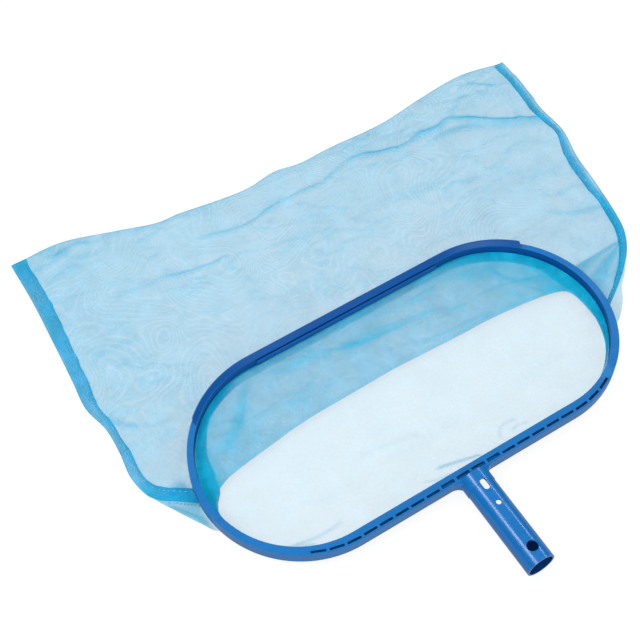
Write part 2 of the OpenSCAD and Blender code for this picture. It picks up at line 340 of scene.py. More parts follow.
# ------------------------------------------------------------------ shader building
class Graph:
    """Shader nodes of a material or world, wired as they are added."""

    def __init__(self, owner):
        owner.use_nodes = True
        self.tree = owner.node_tree
        self.tree.nodes.clear()

    def put(self, socket, value):
        if isinstance(value, bpy.types.NodeSocket):
            self.tree.links.new(value, socket)
        else:
            socket.default_value = value

    def add(self, kind, *values, **settings):
        """Adds a node. Values fill its inputs in order; settings are properties or inputs."""
        made = self.tree.nodes.new("ShaderNode" + kind)
        for key, value in settings.items():
            label = key.replace("_", " ")
            if label in made.inputs.keys():
                self.put(made.inputs[label], value)
            else:
                setattr(made, key, value)
        for socket, value in zip(made.inputs, values):
            self.put(socket, value)
        return made

    def maths(self, operation, *values, clamp=False):
        return self.add("Math", *values, operation=operation, use_clamp=clamp).outputs[0]

    def plus(self, first, second):
        return self.maths("ADD", first, second)

    def minus(self, first, second, clamp=False):
        return self.maths("SUBTRACT", first, second, clamp=clamp)

    def times(self, first, second, clamp=False):
        return self.maths("MULTIPLY", first, second, clamp=clamp)

    def linear(self, value, base, gain):
        return self.plus(base, self.times(value, gain))

    def ramp(self, value, *stops):
        """Colour ramp; a stop is (position, grey or RGB)."""
        made = self.add("ValToRGB", value)
        elements = made.color_ramp.elements
        while len(elements) < len(stops):
            elements.new(0.5)
        for element, (position, colour) in zip(elements, stops):
            rgb = colour if isinstance(colour, tuple) else (colour,) * 3
            element.position, element.color = position, (*rgb, 1)
        return made.outputs[0]

    def noise(self, vector, **settings):
        return self.add("TexNoise", Vector=vector, **settings).outputs["Fac"]

    def mix(self, **settings):
        return self.add("Mix", data_type="RGBA", **settings).outputs["Result"]

    def threads(self, pitch):
        """Square weave from the "weave" UV map, pitch in metres."""
        weave_map = self.add("UVMap", uv_map="weave").outputs[0]
        axes = self.add("SeparateXYZ", weave_map).outputs
        warp, weft = (self.maths("SINE", self.times(axes[k], 2 * math.pi / pitch))
                      for k in range(2))
        return self.maths("MAXIMUM", warp, weft)


def moire_rings(graph, place):
    """Slow interference rings, patchy, and calmer under the mouth."""
    calm_share, calm_until, onset = 0.22, ORIGIN_Y + 0.200, 45.0      # share, metres, per metre
    ring_count, ring_mean, ring_sharpness = 250.0, 0.33, 1.3
    field = graph.noise(place, Scale=12.0, Detail=0.7, Roughness=0.35, Distortion=0.4)
    wave = graph.maths("SINE", graph.times(field, ring_count))
    patches = graph.noise(place, Scale=9.0, Detail=2.0)
    strength = graph.ramp(patches, (0.36, 0.25), (0.56, 1))
    y = graph.add("SeparateXYZ", place).outputs[1]
    past = graph.times(graph.minus(y, calm_until), onset, clamp=True)
    crests = graph.maths("POWER", graph.maths("MAXIMUM", wave, 0.0), ring_sharpness)
    rings = graph.times(graph.minus(ring_mean, crests), strength)
    return graph.times(rings, graph.linear(past, base=calm_share, gain=1 - calm_share))


def cloth_material(name, tint, moire, clouds, weave=0.22, fine=0.70):
    """See-through woven mesh, denser where it is seen aslant, folded or gathered. The last four
    numbers are the strengths of the rings, slow mottling, threads and fine mottling."""
    open_share = 0.768                  # light that passes one layer
    least_facing, least_density = 0.22, 0.05
    translucent_share = 0.3
    material = bpy.data.materials.new(name)
    graph = Graph(material)
    place = graph.add("TexCoord").outputs["Object"]
    cover = graph.add("Attribute", attribute_name="cover").outputs["Fac"]
    geometry = graph.add("NewGeometry").outputs
    dot = graph.add("VectorMath", geometry["Normal"], geometry["Incoming"],
                    operation="DOT_PRODUCT").outputs["Value"]
    facing = graph.maths("MAXIMUM", graph.maths("ABSOLUTE", dot), least_facing)

    # density
    threads = graph.threads(0.00115)
    mottling = graph.noise(place, Scale=26.0, Detail=4.0, Roughness=0.6)
    speckle = graph.noise(place, Scale=420.0, Detail=2.0, Roughness=0.6)
    cloud = graph.linear(graph.minus(speckle, 0.5), gain=fine,
                         base=graph.times(graph.minus(mottling, 0.5), clouds))
    density = graph.linear(moire_rings(graph, place), base=graph.plus(1.0, cloud), gain=moire)
    density = graph.linear(threads, base=density, gain=weave)
    density = graph.times(graph.maths("MAXIMUM", density, least_density), cover)
    density = graph.maths("DIVIDE", density, facing)
    opacity = graph.minus(1.0, graph.maths("POWER", open_share, density), clamp=True)

    # surface
    tones = graph.noise(place, Scale=60.0, Detail=5.0, Roughness=0.65)
    darker = tuple(c * 0.88 for c in tint)
    lighter = tuple(min(1, c * 1.22 + 0.012) for c in tint)
    colour = graph.ramp(tones, (0.28, darker), (0.5, tint), (0.72, lighter))
    bump = graph.add("Bump", Strength=0.35, Distance=0.0003,
                     Height=graph.linear(speckle, base=threads, gain=1.6))
    solid = graph.add("BsdfPrincipled", Base_Color=colour, Normal=bump.outputs[0],
                      Roughness=graph.linear(speckle, base=0.42, gain=0.24),
                      Specular_IOR_Level=0.05)
    glow = graph.add("BsdfTranslucent", Color=colour)
    body = graph.add("MixShader", translucent_share, solid.outputs[0], glow.outputs[0])
    clear = graph.add("BsdfTransparent")
    shader = graph.add("MixShader", opacity, clear.outputs[0], body.outputs[0])
    graph.add("OutputMaterial", Surface=shader.outputs[0])
    return material


def thread_material():
    """Dense ribbed thread for the stitches."""
    tint, light = (0.16, 0.58, 0.84), (0.40, 0.76, 0.92)
    material = bpy.data.materials.new("stitch_thread")
    graph = Graph(material)
    place = graph.add("TexCoord").outputs["Object"]
    weave = graph.threads(0.0013)
    tones = graph.noise(place, Scale=95.0, Detail=5.0, Roughness=0.62)
    speckle = graph.noise(place, Scale=700.0, Detail=2.0)
    colour = graph.ramp(tones, (0.3, tuple(c * 0.6 for c in tint)), (0.52, tint), (0.74, light))
    weave_share = graph.times(graph.plus(weave, 1.0), 0.5)      # -1..1 to 0..1
    shade = graph.ramp(weave_share, (0.1, (0.45, 0.5, 0.55)), (0.8, 1))
    bump = graph.add("Bump", Strength=0.6, Distance=0.0005,
                     Height=graph.linear(speckle, base=weave, gain=1.2))
    surface = graph.add(
        "BsdfPrincipled", Normal=bump.outputs[0], Specular_IOR_Level=0.22,
        Base_Color=graph.mix(blend_type="MULTIPLY", Factor=0.45, A=colour, B=shade),
        Roughness=graph.linear(speckle, base=0.45, gain=0.3))
    graph.add("OutputMaterial", Surface=surface.outputs[0])
    return material


def mouth_facing(graph, geometry):
    """1 where a face looks towards the middle of the mouth."""
    half = (HOOP_HALF - R_FAR) / 1000
    place = graph.add("SeparateXYZ", geometry["Position"]).outputs
    middle_x = graph.maths("MINIMUM", graph.maths("MAXIMUM", place[0], -half), half)
    way = graph.add("CombineXYZ", graph.minus(middle_x, place[0]),
                    graph.minus(ORIGIN_Y + END_Y / 1000, place[1])).outputs[0]
    unit = graph.add("VectorMath", way, operation="NORMALIZE").outputs[0]
    dot = graph.add("VectorMath", unit, geometry["Normal"], operation="DOT_PRODUCT")
    return graph.ramp(dot.outputs["Value"], (0.35, 0), (0.75, 1))


def bore_depth(graph, geometry):
    """1 within the socket's bore, which runs along Y."""
    radius = 0.0135
    place = graph.add("SeparateXYZ", geometry["Position"]).outputs
    squares = graph.plus(graph.maths("POWER", place[0], 2.0),
                         graph.maths("POWER", place[2], 2.0))
    share = graph.times(graph.maths("SQRT", squares), 1 / radius)
    return graph.ramp(share, (0.93, 1), (0.96, 0))


def plastic_material(name, base, pale, rough=0.24, spec=0.4, inside=None, bore=None):
    """Moulded plastic with colour flow, fine grain, scuffs and paler worn edges. Faces towards
    the mouth and in the socket's bore may get painted shade: darker colours that stand in for
    the shade inside the hoop and down the bore."""
    material = bpy.data.materials.new(name)
    graph = Graph(material)
    place = graph.add("TexCoord").outputs["Object"]
    geometry = graph.add("NewGeometry").outputs
    flow = graph.noise(place, Scale=9.0, Detail=3.0, Roughness=0.5, Distortion=0.6)
    grain = graph.noise(place, Scale=900.0, Detail=3.0, Roughness=0.6)
    stretched = graph.add("Mapping", Vector=place, Scale=(40, 260, 260)).outputs[0]
    scratch = graph.noise(stretched, Scale=1.0, Detail=4.0, Roughness=0.7)

    tone = graph.ramp(flow, (0.3, tuple(c * 0.93 for c in base)),
                      (0.7, tuple(min(1, c * 1.07) for c in base)))
    edge = graph.ramp(geometry["Pointiness"], (0.515, 0), (0.60, 1))
    worn = graph.times(edge, graph.times(scratch, 0.7), clamp=True)
    tone = graph.mix(Factor=worn, A=tone, B=(*pale, 1))
    # painted shade: faces that look towards the mouth get a darker colour, standing in for the
    # shade on the hoop's inner walls
    if inside:
        tone = graph.mix(Factor=mouth_facing(graph, geometry), A=tone, B=(*inside, 1))
    # painted shade: the socket's bore gets a darker colour, standing in for the shade down inside
    # it
    if bore:
        tone = graph.mix(Factor=bore_depth(graph, geometry), A=tone, B=(*bore, 1))

    scuff = graph.ramp(scratch, (0.45, 0), (0.75, 1))
    roughness = graph.linear(scuff, base=rough, gain=0.12)
    roughness = graph.linear(grain, base=roughness, gain=0.08)
    grain_bump = graph.add("Bump", Strength=0.05, Distance=0.0002, Height=grain).outputs[0]
    bump = graph.add("Bump", Strength=0.08, Distance=0.0008, Height=flow, Normal=grain_bump)
    surface = graph.add("BsdfPrincipled", Base_Color=tone, Roughness=roughness,
                        Normal=bump.outputs[0], Specular_IOR_Level=spec)
    graph.add("OutputMaterial", Surface=surface.outputs[0])
    return material


TINT = (0.005, 0.495, 0.765)
UPPER_CLOTH = cloth_material("mesh_cloth", TINT, moire=0.36, clouds=0.65)
UNDER_CLOTH = cloth_material("mesh_cloth_single", TINT, moire=0.08, clouds=0.32, fine=0.40)
SLACK_CLOTH = cloth_material("mesh_cloth_slack", (0.004, 0.500, 0.750), moire=0.10, clouds=0.50)
# painted light: the skirt is a brighter copy of the cloth, making up for the light that the hoop's
# shade takes from it
LIT_SKIRT_CLOTH = cloth_material("mesh_cloth_skirt", (0.003, 0.520, 0.850), moire=0.05,
                             clouds=0.45, weave=0.3)
SEAM_CLOTH = cloth_material("seam_cloth", (0.003, 0.480, 0.790), moire=0.08,
                            clouds=0.5, weave=0.35)
THREAD = thread_material()
# the hoop's inside colour is painted shade for its inner walls
HOOP_PLASTIC = plastic_material("hoop_plastic", base=(0.001, 0.138, 0.425),
                                pale=(0.04, 0.27, 0.60), inside=(0.002, 0.055, 0.260))
# painted shade: the leading lip and clamp bar get a darker blue than the hoop, standing in for the
# shade on their slanted and inner faces
SHADED_LIP_PLASTIC = plastic_material("lip_plastic", base=(0.002, 0.074, 0.300),
                               pale=(0.02, 0.17, 0.48), rough=0.34, spec=0.22)
# the socket's bore colour is painted shade
SOCKET_PLASTIC = plastic_material("socket_plastic", base=(0.002, 0.140, 0.440),
                                  pale=(0.04, 0.27, 0.60), rough=0.17, spec=0.5,
                                  bore=(0.002, 0.045, 0.19))
SPLINE_PLASTIC = plastic_material("spline_plastic", base=(0.004, 0.012, 0.075),
                                  pale=(0.01, 0.03, 0.14), rough=0.45, spec=0.3)


# ------------------------------------------------------------------ mesh builders
def place_mesh(name, mesh, material):
    """Puts a smooth-shaded mesh in the scene."""
    mesh.materials.append(material)
    made = bpy.data.objects.new(name, mesh)
    bpy.context.scene.collection.objects.link(made)
    for face in mesh.polygons:
        face.use_smooth = True
    return made


def sheet(name, points, weave_map, cover, material, closed=False, flip=False):
    """Quad sheet from a grid of layout points (rows, columns, 3). Cover is the local density
    of the cloth in layers; a closed sheet joins its last column to its first."""
    rows, columns = points.shape[:2]
    index = np.arange(rows * columns).reshape(rows, columns)
    following = np.roll(index, -1, axis=1)
    faces = np.stack([index[:-1], following[:-1], following[1:], index[1:]], -1)
    if not closed:
        faces = faces[:, :-1]
    faces = faces.reshape(-1, 4)
    if flip:
        faces = faces[:, ::-1]
    places = world(points).reshape(-1, 3)
    # collapsed quads are left out
    first, second, third, fourth = (places[faces[:, k]] for k in range(4))
    area = np.linalg.norm(np.cross(third - first, fourth - second), axis=1)
    faces = faces[area > 1e-9]

    mesh = bpy.data.meshes.new(name)
    mesh.vertices.add(len(places))
    mesh.vertices.foreach_set("co", places.ravel())
    mesh.loops.add(faces.size)
    mesh.loops.foreach_set("vertex_index", faces.ravel().astype(np.int32))
    mesh.polygons.add(len(faces))
    mesh.polygons.foreach_set("loop_start", np.arange(0, faces.size, 4, dtype=np.int32))
    mesh.update(calc_edges=True)
    mesh.validate()
    layer = mesh.uv_layers.new(name="weave")
    corners = np.zeros(len(mesh.loops), np.int32)
    mesh.loops.foreach_get("vertex_index", corners)
    layer.data.foreach_set("uv", weave_map.reshape(-1, 2)[corners].ravel())
    attribute = mesh.attributes.new("cover", "FLOAT", "POINT")
    attribute.data.foreach_set("value", np.asarray(cover, np.float32).reshape(-1))
    return place_mesh(name, mesh, material)


def flat_weave(x, y):
    return np.stack([x / 1000, y / 1000], -1)


def upper_weave(x, y):
    """The upper sheet's weave is slightly out of step with the under sheet's."""
    return np.stack([x / 1000 * 0.995 + 0.0003, y / 1000 * 1.004], -1)


# ------------------------------------------------------------------ heights of the two sheets
BUNCH = (292.0, 139.0)        # the pleats of the bunch fan out from here


def bunch(x, y):
    """Cloth bunched between the hoop's right end and the seam: its share, its pleats and the
    distance from its point."""
    dx, dy = x - BUNCH[0], y - BUNCH[1]
    distance = np.hypot(dx, dy)
    angle = np.degrees(np.arctan2(-dy, -dx))      # 0 points to -X, 90 to -Y
    fan = smooth(-2, 5, angle) * smooth(60, 50, angle)
    share = fan * smooth(0, 10, distance) * smooth(HOOP_HALF - 6, HOOP_HALF + 1, x)
    swing = np.radians(angle + 3 * np.sin(distance / 26)) * 15
    return share, np.sin(swing + 0.9 * noise(x, y, 44, 61)), distance


def under_height(x, y):
    """Height and extra layers of the under sheet."""
    height, cover = creased(x, y, UNDER_CREASES)
    inside = smooth(HOOP_HALF + 20, HOOP_HALF - 30, np.abs(x)) * smooth(200, 150, y)
    relief = 0.5 + 0.5 * layered(x, y, 46, 11)
    return UNDER_Z + height + relief * (1.0 + 0.9 * (1 - inside)), cover


def upper_relief(x, y):
    height, cover = creased(x, y, UPPER_CREASES)
    long_ridges = ridges(x + 0.6 * y, y * 1.7, 74, 31, octaves=4, slope=2.1, power=5)
    short_ridges = ridges(x * 0.8 - 0.3 * y, y * 1.5, 41, 57, octaves=3, slope=2.0, power=6)
    broad = layered(x, y * 1.25, 120, 71, 2)
    at_far = decay(far_y(x) - y, 26, limit=200)
    at_sides = decay(x - left_x(y), 20, limit=300) + decay(right_x(y) - x, 20, limit=300)
    pucker = np.sin(y / 5.2 + 1.4 * noise(x, y, 30, 5)) * 0.9 * at_sides
    ripple = np.sin(x / 6.0 + 2.2 * noise(x, y, 34, 9)) * 0.8 * at_far
    height = height + 1.5 * long_ridges + 1.0 * short_ridges + 2.2 * broad + pucker + ripple
    return height, cover + 0.30 * long_ridges + 0.22 * short_ridges + 0.22 * at_far


def upper_height(x, y):
    """Height and extra layers of the upper sheet."""
    relief, cover = upper_relief(x, y)
    pressed = smooth(262, 214, y) * smooth(90, 130, y)         # flat under the hoop's far rail
    loft = UPPER_Z + 2.6 * smooth(225, 300, y)
    return np.maximum(loft + relief * (1 - 0.82 * pressed), UNDER_Z + 1.8), cover


def rear_grid(rows, columns, far_inset):
    """Grid from the cut to the far edge, and each column's end y."""
    across = np.linspace(0, 1, columns)
    back = np.linspace(0, 1, rows)[:, None]
    end_x = (FAR_EDGE[0, 0] + 2.0) * (1 - across) + (FAR_EDGE[-1, 0] - 2.0) * across
    end_y = far_y(end_x) - far_inset
    y = CUT_Y + (end_y - CUT_Y) * back
    left, right = cloth_sides(y)
    return left * (1 - across) + right * across, y, end_y


# ------------------------------------------------------------------ under sheet
UNDER_COLUMNS = 200


def under_bounds(y):
    """Left and right edge: the hoop near the socket, then the bag's sides."""
    hoop = hoop_half_width(y, INSET)
    left, right = cloth_sides(y)
    to_left, to_right = smooth(66, 86, y), smooth(48, 66, y)
    return (-hoop * (1 - to_left) + np.minimum(left, -hoop) * to_left,
            hoop * (1 - to_right) + np.maximum(right, hoop) * to_right)


def under_front():
    step = 3.0
    radius = R_NEAR - INSET
    turn = np.linspace(0.02, math.pi / 2, 64)
    rows = np.r_[END_Y - radius * np.cos(turn),
                 np.arange(END_Y + step, CUT_Y - 0.5 * step, step), CUT_Y]
    across = np.linspace(0, 1, UNDER_COLUMNS)
    left, right = under_bounds(rows)
    x = left[:, None] * (1 - across) + right[:, None] * across
    y = np.repeat(rows[:, None], UNDER_COLUMNS, 1)
    z, crease_cover = under_height(x, y)

    gap = hoop_gap(x, y)
    hoop = hoop_half_width(y, INSET)
    edge = np.minimum(hoop - np.abs(x), y - (END_Y - radius))
    inner = (np.abs(x) < hoop + 0.01) & (y < END_Y + 10)
    # the rim climbs into the hoop; beyond the hoop the cloth drops to the floor
    rise = decay(edge, 6.5)
    beyond = np.clip(gap + INSET, 0, 200)
    lift = (-13.6 - UNDER_Z) * rise * np.exp(-((beyond / 3.4) ** 2)) * smooth(100, 74, y)
    gather = np.sin(np.arctan2(y - 60, x) * 46 + 3 * noise(x, y, 18, 3)) * 0.8
    z = z + lift + gather * decay(edge, 16) * inner * (1 - rise)

    # thinner within the mouth, denser along its rim
    pale = smooth(124, 108, y) * smooth(HOOP_HALF + 12, HOOP_HALF - 2, np.abs(x))
    cover = 1 - 0.05 * pale + 0.28 * decay(edge, 10) * inner * smooth(110, 80, y)
    # flap outside the hoop's left end, and the edge beside its right end
    flap = smooth(HOOP_HALF - 4, HOOP_HALF + 4, -x) * smooth(150, 134, y)
    cover = cover + flap * (1.7 + 3.2 * decay(gap, 16, limit=200))
    cover = cover + 1.5 * np.exp(-np.abs(gap) / 5) * smooth(200, 210, x) * smooth(100, 86, y)
    share, pleat, distance = bunch(x, y)
    cover = cover + share * 0.4 * (1.3 + 0.35 * pleat + 0.6 * smooth(30, 55, distance))
    z = np.maximum(z + share * (1.6 + 1.2 * pleat), FLOOR_Z + 0.3)
    return sheet("under_sheet_front", np.stack([x, y, z], -1), flat_weave(x, y),
                 cover + crease_cover, UNDER_CLOTH, flip=True)


def under_rear():
    x, y, end_y = rear_grid(56, UNDER_COLUMNS, far_inset=0.6)
    z, crease_cover = under_height(x, y)
    fold = np.clip((end_y - y) / 16, 0, 1)
    z = np.maximum(z + 2.2 * (1 - fold) ** 2, FLOOR_Z + 0.3)
    return sheet("under_sheet_rear", np.stack([x, y, z], -1), flat_weave(x, y),
                 1 + crease_cover, UNDER_CLOTH, flip=True)


# ------------------------------------------------------------------ slack and upper sheet
# (x, y) of the fold where the slack hanging in the mouth turns into the upper sheet
FOLD_POINTS = [
    (-216.0, 80), (-214.5, 92), (-211.5, 104), (-203, 113.5), (-191.6, 119.5), (-180, 122.5),
    (-163.9, 125), (-137.5, 128.5), (-110.8, 132), (-83, 134), (-52, 134.6), (-17.5, 135.4),
    (8.7, 135.8), (36.5, 134.6), (81.7, 133), (117, 132.4), (151, 129.7), (176, 126.4),
    (194, 122.5), (203, 118), (207.2, 110), (208.6, 99), (208.8, 86), (208.2, 74), (207.6, 66)]
UPPER_COLUMNS = 240
FOLD = curve(FOLD_POINTS, UPPER_COLUMNS)
FOLD_Z = UPPER_Z + 2.4


def hem_line():
    """The inner wall round the far side of the mouth, between the fold's two ends."""
    wall = inner_wall(1.3, density=6.0)
    left, right = (np.hypot(wall[:, 0] - end[0], wall[:, 1] - end[1]).argmin()
                   for end in (FOLD[0], FOLD[-1]))
    return curve(wall[right:left + 1][::-1][::40], UPPER_COLUMNS)


def slack_curtain():
    """Cloth hanging from the far side of the hoop down to the fold."""
    hem = hem_line()
    down = np.linspace(0, 1, 46)[:, None]
    x = hem[:, 0] * (1 - down) + FOLD[:, 0] * down
    y = hem[:, 1] * (1 - down) + FOLD[:, 1] * down
    height, crease_cover = creased(x, y, SLACK_CREASES)
    top = -9.6 - 3.4 * smooth(100, 70, hem[:, 1])
    hang = (1 - down) ** 2.2
    span = np.hypot(hem[:, 0] - FOLD[:, 0], hem[:, 1] - FOLD[:, 1])
    full = np.clip(span / 40, 0, 1)
    ridge = ridges(x + 0.5 * y, y * 1.5, 56, 131, octaves=3, slope=2.1, power=5)
    wave = np.sin(x / 7.5 + 2.6 * noise(x, y, 40, 77)) * 0.7 * (1 - down) ** 1.5
    relief = height + 1.4 * ridge + 1.2 * layered(x, y, 60, 141) + wave
    z = top * hang + FOLD_Z * (1 - hang)
    z = z + relief * full * np.clip(np.sin(np.pi * down) * 1.6 + 0.25, 0, 1)
    # stays on top of the sheet it folds into
    z = np.maximum(z, np.minimum(upper_height(x, y)[0], UNDER_HOOP_Z) + 0.6)

    drop = down * span
    inside = -hoop_gap(x, y)
    patches = np.clip(0.55 + 0.9 * layered(x, y, 70, 151, 2), 0.1, 1.6)
    # creases, hem and fold
    cover = 0.95 + crease_cover + 0.3 * ridge * full + 0.7 * np.exp(-drop / 8)
    cover = cover + 0.45 * np.exp(-((1 - down) * span) / 4) + patches * np.exp(-drop / 26)
    # where the curtain is short, and along the hoop
    cover = cover + 1.1 * np.exp(-((span / 46) ** 2))
    right_band = decay(inside - 7, 8 + 7 * smooth(160, 195, x), limit=99)
    cover = cover + 2.4 * smooth(40, 150, x) * right_band
    cover = cover + 0.5 * decay(inside - 6, 7, limit=99)
    # towards the two sides
    cover = cover + 0.5 * smooth(120, 175, x) * smooth(128, 146, y)
    cover = cover + 0.30 * smooth(10, -140, x) + 0.85 * smooth(60, 170, x)
    cover = cover + 2.8 * smooth(-186, -204, x) * smooth(158, 128, y)
    cover = cover + 2.4 * smooth(176, 200, x) * smooth(150, 128, y)
    return sheet("slack_curtain", np.stack([x, y, z], -1), flat_weave(x, y + 30), cover,
                 SLACK_CLOTH, flip=True)


def upper_cover(x, crease_cover):
    return 1.0 + crease_cover + 0.30 * smooth(-110, -215, x)


def upper_front():
    """Upper sheet from the fold to the cut."""
    rows = 84
    across = np.linspace(0, 1, UPPER_COLUMNS)
    back = np.linspace(0, 1, rows)[:, None] ** 1.15
    cut_left, cut_right = cloth_sides(CUT_Y)
    left_side = curve([FOLD[0], (-228, 118), (-247, 142), (-256, 166), (-257, 200),
                       (-256.5, 236), (cut_left, CUT_Y)], rows)
    right_side = curve([FOLD[-1], (244, 96), (272, 118), (296, 146), (307, 180),
                        (314, 222), (cut_right, CUT_Y)], rows)
    share = lengths_along(left_side)
    share /= share[-1]
    at_left, at_right = np.exp(-across / 0.085), np.exp(-(1 - across) / 0.085)

    def pulled(base, axis):
        """Moves the ends of each row out to the side lines."""
        left = np.interp(back, share, left_side[:, axis])
        right = np.interp(back, share, right_side[:, axis])
        return base + (left - base[:, :1]) * at_left + (right - base[:, -1:]) * at_right

    cut_x = cut_left * (1 - across) + cut_right * across
    x = pulled(FOLD[:, 0] * (1 - back) + cut_x * back, 0)
    y = pulled(FOLD[:, 1] * (1 - back) + CUT_Y * back, 1)

    z, crease_cover = upper_height(x, y)
    free = np.clip(back * (CUT_Y - FOLD[:, 1]) / 7, 0, 1)
    z = z * free + (FOLD_Z - 1.4) * (1 - free)
    bunched, pleat, _ = bunch(x, y)
    z = z + bunched * (1.2 + 1.0 * pleat)
    near_hoop = smooth(14, 1, hoop_gap(x, y))
    z = np.minimum(z, UNDER_HOOP_Z + 40 * (1 - near_hoop))
    cover = upper_cover(x, crease_cover) + bunched * (1.35 + 0.75 * pleat)
    cover = cover + 0.35 * np.exp(-back * 40)
    return sheet("upper_sheet_front", np.stack([x, y, z], -1), upper_weave(x, y), cover,
                 UPPER_CLOTH)


def upper_rear():
    x, y, end_y = rear_grid(64, UPPER_COLUMNS, far_inset=0.0)
    z, crease_cover = upper_height(x, y)
    z = SEAM_Z + (z - SEAM_Z) * np.sqrt(np.clip((end_y - y) / 15, 0, 1))
    return sheet("upper_sheet_rear", np.stack([x, y, z], -1), upper_weave(x, y),
                 upper_cover(x, crease_cover), UPPER_CLOTH)


# ------------------------------------------------------------------ skirt
def mouth_skirt():
    """Cloth that leaves the hoop's channel all round the mouth and hangs down its inner wall."""
    wall, lip = inner_wall(0.35), inner_wall(1.15)
    count = len(wall)
    along = lengths_along(wall)
    x, y = wall[:, 0], wall[:, 1]
    inward = inner_wall(5.0) - wall
    inward /= np.linalg.norm(inward, axis=1)[:, None]
    # how far the gathered cloth stands in from the wall, by y
    right = np.interp(y, [0, 40, 52, 60, 71, 83, 100, 115, 128, 140],
                      [0.4, 0.5, 1.0, 1.8, 2.6, 3.0, 3.4, 4.6, 6.5, 7.0])
    left = np.interp(y, [0, 40, 80, 98, 106, 115, 122, 140],
                     [0.4, 1.2, 2.4, 4.4, 8.0, 14.0, 16.0, 15.0])
    reach = 0.4 + smooth(60, 150, x) * right + smooth(60, 150, -x) * left
    reach = np.where(y > 140, np.maximum(3.2, reach - (y - 140) * 0.25), reach)
    wave = np.sin(along / 6.5 + 2.5 * noise(along, along * 0, 60, 41)) * 0.5
    wave = wave + 0.7 * noise(along, along * 0, 16, 43)
    top = -13.2 + 4.2 * smooth(6, 50, y)
    dense = 0.8 + 7.2 * smooth(14, 56, y) * smooth(60, 150, np.abs(x))
    dense = dense + (2.0 - dense) * smooth(150, 176, y) * smooth(170, 120, np.abs(x))

    # out of the channel, under the rail and up the wall: (outline, z, share of the density)
    turns = [
        (rim_line(3.3, 3.3, 3.3), -11.9, 0.5), (rim_line(3.6, 3.6, 3.6), -13.35, 0.5),
        (inner_wall(-0.6), -13.40, 0.5), (wall, -13.30, 0.5),
        (inner_wall(0.40), top - 0.15, 0.8), (lip, top, 1.0)]
    rows = [np.column_stack([line, np.broadcast_to(z, count)]) for line, z, _ in turns]
    cover = [dense * share for _, _, share in turns]
    for down in np.linspace(0.12, 1, 10):
        z = top + (UNDER_Z + 0.9 - top) * (1 - (1 - down) ** 1.5)
        out = (down ** 1.3) * (reach + wave * 0.5 * down * smooth(1, 5, reach))
        rows.append(np.column_stack([lip + inward * out[:, None], z + wave * 0.25 * down]))
        cover.append(dense * (1 - 0.36 * down ** 2)
                     + 0.3 * np.abs(wave) * smooth(1.5, 7, reach))
    points = np.array(rows)
    weave_map = np.zeros(points.shape[:2] + (2,))
    weave_map[..., 0] = along / 1000
    weave_map[..., 1] = np.linspace(0, 0.03, len(rows))[:, None]
    return sheet("mouth_skirt", points, weave_map, np.array(cover), LIT_SKIRT_CLOTH, closed=True)


low_front = under_front()
low_rear = under_rear()
slack = slack_curtain()
upper = upper_front()
upper_r = upper_rear()
mouth = mouth_skirt()

# ------------------------------------------------------------------ sewn seams
# outer edge line, unit vectors into the bag, width, length along and height, one row per station
Tape = namedtuple("Tape", "path inward width along height")
TAPE_SIDES = 20
TAPE_THICK = 3.0
STITCH_SIDES = 6
STITCH_RADII = np.array((0.08, 0.26, 0.32, 0.32, 0.26, 0.08))[:, None]
STITCH_LIFTS = np.array((0, 0.25, 0.25, 0.25, 0.25, 0))[:, None]


def part_of(tape, rows):
    return Tape(*(values[rows] for values in tape))


def tape_body(name, tape, across, extra, cap_start):
    """Pillowed tape, capped at its start or else at its end. Across is (share of the width,
    layers)."""
    rings, cover = [], []
    for k in range(TAPE_SIDES):
        turn = k / TAPE_SIDES * 2 * math.pi
        side = math.copysign(abs(math.cos(turn)) ** 0.55, math.cos(turn))
        up = math.copysign(abs(math.sin(turn)) ** 0.8, math.sin(turn))
        share = 0.5 + 0.5 * side
        xy = tape.path + tape.inward * (tape.width * share)[:, None]
        rib = 0.15 * math.cos(share * math.pi * 2) * (1 if up > 0 else 0)
        rough = 0.18 * noise(tape.along, tape.along * 0 + k * 0.3, 5, 8) * max(up, 0)
        rings.append(np.column_stack([xy, tape.height + TAPE_THICK / 2 * up + rib + rough]))
        patches = 1 + 0.18 * noise(tape.along, tape.along * 0 + 40 * share, 21, 77)
        cover.append((np.interp(share, *across) + extra) * patches)
    points = np.stack(rings, 1)
    weave_map = np.zeros(points.shape[:2] + (2,))
    weave_map[..., 0] = tape.along[:, None] / 1000
    from_outer = np.abs(np.arange(TAPE_SIDES) - TAPE_SIDES / 2)
    weave_map[..., 1] = from_outer / TAPE_SIDES * 28 / 1000
    body = sheet(name, points, weave_map, np.stack(cover, 1), SEAM_CLOTH, closed=True)

    edit = bmesh.new()
    edit.from_mesh(body.data)
    edit.verts.ensure_lookup_table()
    last = (len(tape.path) - 1) * TAPE_SIDES
    cap = range(TAPE_SIDES - 1, -1, -1) if cap_start else range(last, last + TAPE_SIDES)
    edit.faces.new([edit.verts[k] for k in cap])
    bmesh.ops.recalc_face_normals(edit, faces=edit.faces)
    edit.to_mesh(body.data)
    edit.free()
    return body


def stitch_faces():
    sides, last = STITCH_SIDES, (len(STITCH_RADII) - 1) * STITCH_SIDES
    faces = []
    for ring in range(0, last, sides):
        for k in range(sides):
            following = (k + 1) % sides
            faces.append((ring + k, ring + following, ring + sides + following,
                          ring + sides + k))
    faces.append(tuple(range(sides - 1, -1, -1)))
    faces.append(tuple(range(last, last + sides)))
    return faces


